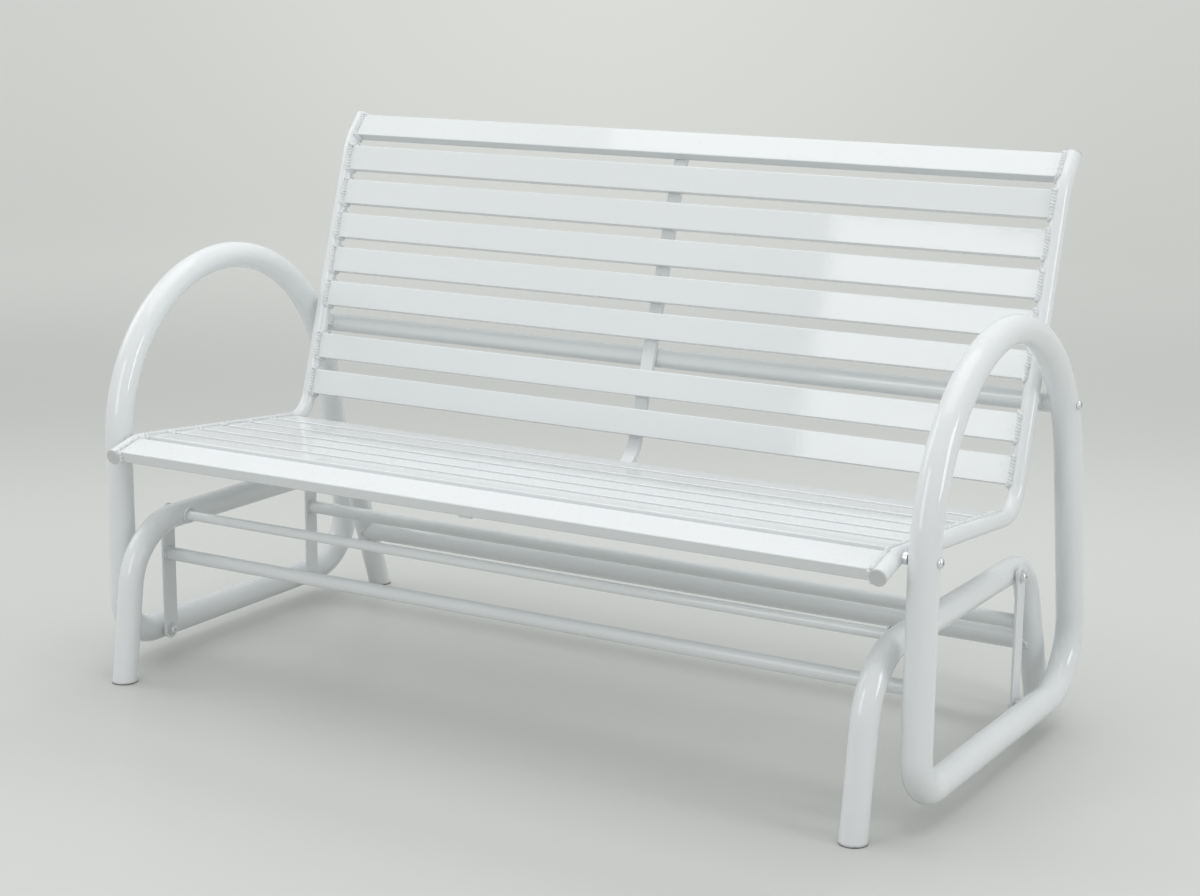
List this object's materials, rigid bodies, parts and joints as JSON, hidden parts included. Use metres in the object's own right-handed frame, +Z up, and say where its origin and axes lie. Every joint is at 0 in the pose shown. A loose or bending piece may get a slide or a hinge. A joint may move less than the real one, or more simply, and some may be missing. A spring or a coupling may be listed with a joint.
{
  "type": "garden glider bench",
  "caption": "White steel-tube garden glider bench: slatted seat and back between looped arms, hung on swing links from a splayed base.",
  "frame": {"origin": "on the floor, under the middle of the bench's bounding box", "axes": "+Z up; -Y is the way a sitter faces; X runs along the bench"},
  "size_m": [1.466, 0.7444, 0.8833],
  "materials": {
    "tube_powder_coat": "gloss white powder coat on bent steel tube, fine orange peel",
    "slat_powder_coat": "gloss white powder coat on flat-sided slats, fine orange peel",
    "link_powder_coat": "white powder coat on flat bar and thin tube, rubbed at the eyes",
    "zinc_fastener": "bright zinc plate, slightly dulled",
    "bush_nylon": "natural nylon",
    "cap_plastic": "moulded pale grey-white plastic",
    "glide_nylon": "moulded grey plastic, scuffed underneath"
  },
  "bodies": {
    "base": {"base_frame_left": "tube_powder_coat", "base_frame_right": "tube_powder_coat", "base_rear_tube": "tube_powder_coat", "front_tie_bar": "tube_powder_coat", "tie_flanges": "link_powder_coat", "tie_end_plugs": "zinc_fastener", "base_pivot_inserts": "zinc_fastener", "top_pivot_spacers": "zinc_fastener", "top_pivot_bolts_front": "zinc_fastener", "top_pivot_bolts_rear": "zinc_fastener", "foot_glide_front_left": "glide_nylon", "foot_glide_front_right": "glide_nylon", "foot_glide_rear_left": "glide_nylon", "foot_glide_rear_right": "glide_nylon"},
    "front_hanger": {"link_front_left": "link_powder_coat", "link_front_right": "link_powder_coat", "link_tie_front": "link_powder_coat", "link_bushes_front": "bush_nylon"},
    "rear_hanger": {"link_rear_left": "link_powder_coat", "link_rear_right": "link_powder_coat", "link_tie_rear": "link_powder_coat", "link_bushes_rear": "bush_nylon"},
    "glider": {"arm_loop_left": "tube_powder_coat", "arm_loop_right": "tube_powder_coat", "arm_pivot_inserts": "zinc_fastener", "bottom_pivot_spacers": "zinc_fastener", "bottom_pivot_bolts": "zinc_fastener", "seat_rail_left": "tube_powder_coat", "seat_rail_right": "tube_powder_coat", "rail_nose_cap_left": "cap_plastic", "rail_nose_cap_right": "cap_plastic", "rail_top_cap_left": "cap_plastic", "rail_top_cap_right": "cap_plastic", "rail_bolt_inserts": "zinc_fastener", "arm_spacers": "zinc_fastener", "arm_bolts_front": "zinc_fastener", "arm_bolts_rear": "zinc_fastener", "back_tube_plugs": "zinc_fastener", "back_cross_tube": "tube_powder_coat", "tube_saddle_left": "tube_powder_coat", "tube_saddle_right": "tube_powder_coat", "centre_rib": "tube_powder_coat", "seat_slat_1": "slat_powder_coat", "seat_slat_2": "slat_powder_coat", "seat_slat_3": "slat_powder_coat", "seat_slat_4": "slat_powder_coat", "seat_slat_5": "slat_powder_coat", "seat_slat_6": "slat_powder_coat", "seat_slat_7": "slat_powder_coat", "back_slat_1": "slat_powder_coat", "back_slat_2": "slat_powder_coat", "back_slat_3": "slat_powder_coat", "back_slat_4": "slat_powder_coat", "back_slat_5": "slat_powder_coat", "back_slat_6": "slat_powder_coat", "back_slat_7": "slat_powder_coat", "back_slat_8": "slat_powder_coat"}
  },
  "joints": [
    {"name": "glide_swing", "type": "hinge", "parent": "base", "child": "front_hanger", "pos_m": [0, -0.2065, 0.251], "axis": [1, 0, 0], "range_deg": [-15, 15]},
    {"name": "rear_link_swing", "type": "hinge", "parent": "base", "child": "rear_hanger", "pos_m": [0, 0.1775, 0.251], "axis": [1, 0, 0], "range_deg": [-15, 15]},
    {"name": "seat_level", "type": "hinge", "parent": "front_hanger", "child": "glider", "pos_m": [0, -0.2065, 0.048], "axis": [1, 0, 0], "range_deg": [-15, 15]}
  ],
  "couplings": [
    {"joint": "rear_link_swing", "follows": "glide_swing", "ratio": 1},
    {"joint": "seat_level", "follows": "glide_swing", "ratio": -1}
  ]
}
